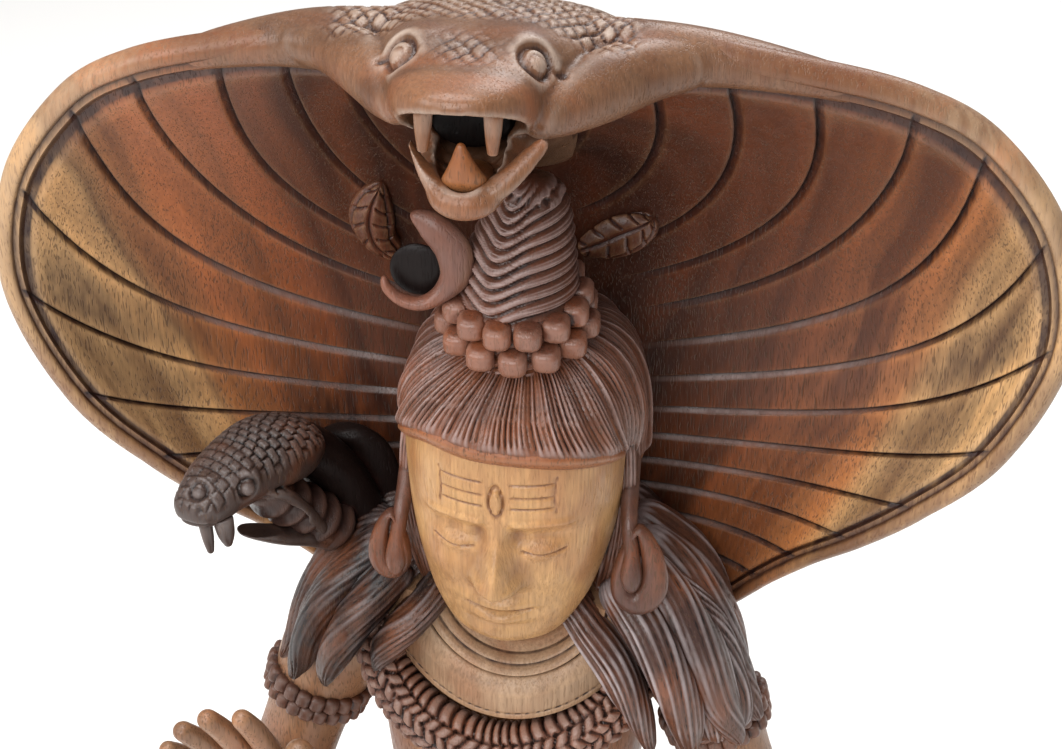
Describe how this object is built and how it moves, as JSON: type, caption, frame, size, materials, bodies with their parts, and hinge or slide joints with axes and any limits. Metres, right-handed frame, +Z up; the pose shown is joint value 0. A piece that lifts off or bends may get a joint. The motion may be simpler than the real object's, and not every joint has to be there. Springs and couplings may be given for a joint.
{
  "type": "carved shiva figure",
  "caption": "Wooden statue of seated Shiva, right hand raised, under the spread hood of a great cobra whose coils are the seat, on a low oval plinth.",
  "frame": {"origin": "middle of the figure's seat, on the flat underside of the plinth", "axes": "+Z up; the figure faces -Y; +X is the figure's own left, the viewer's right"},
  "size_m": [0.3166, 0.218, 0.514],
  "materials": {
    "suar_wood": "carved suar wood, red-brown heartwood with yellow sapwood, grooves stained dark, rubbed and varnished to a soft gloss"
  },
  "bodies": {
    "root": {"shiva_figure": "suar_wood"}
  },
  "joints": []
}
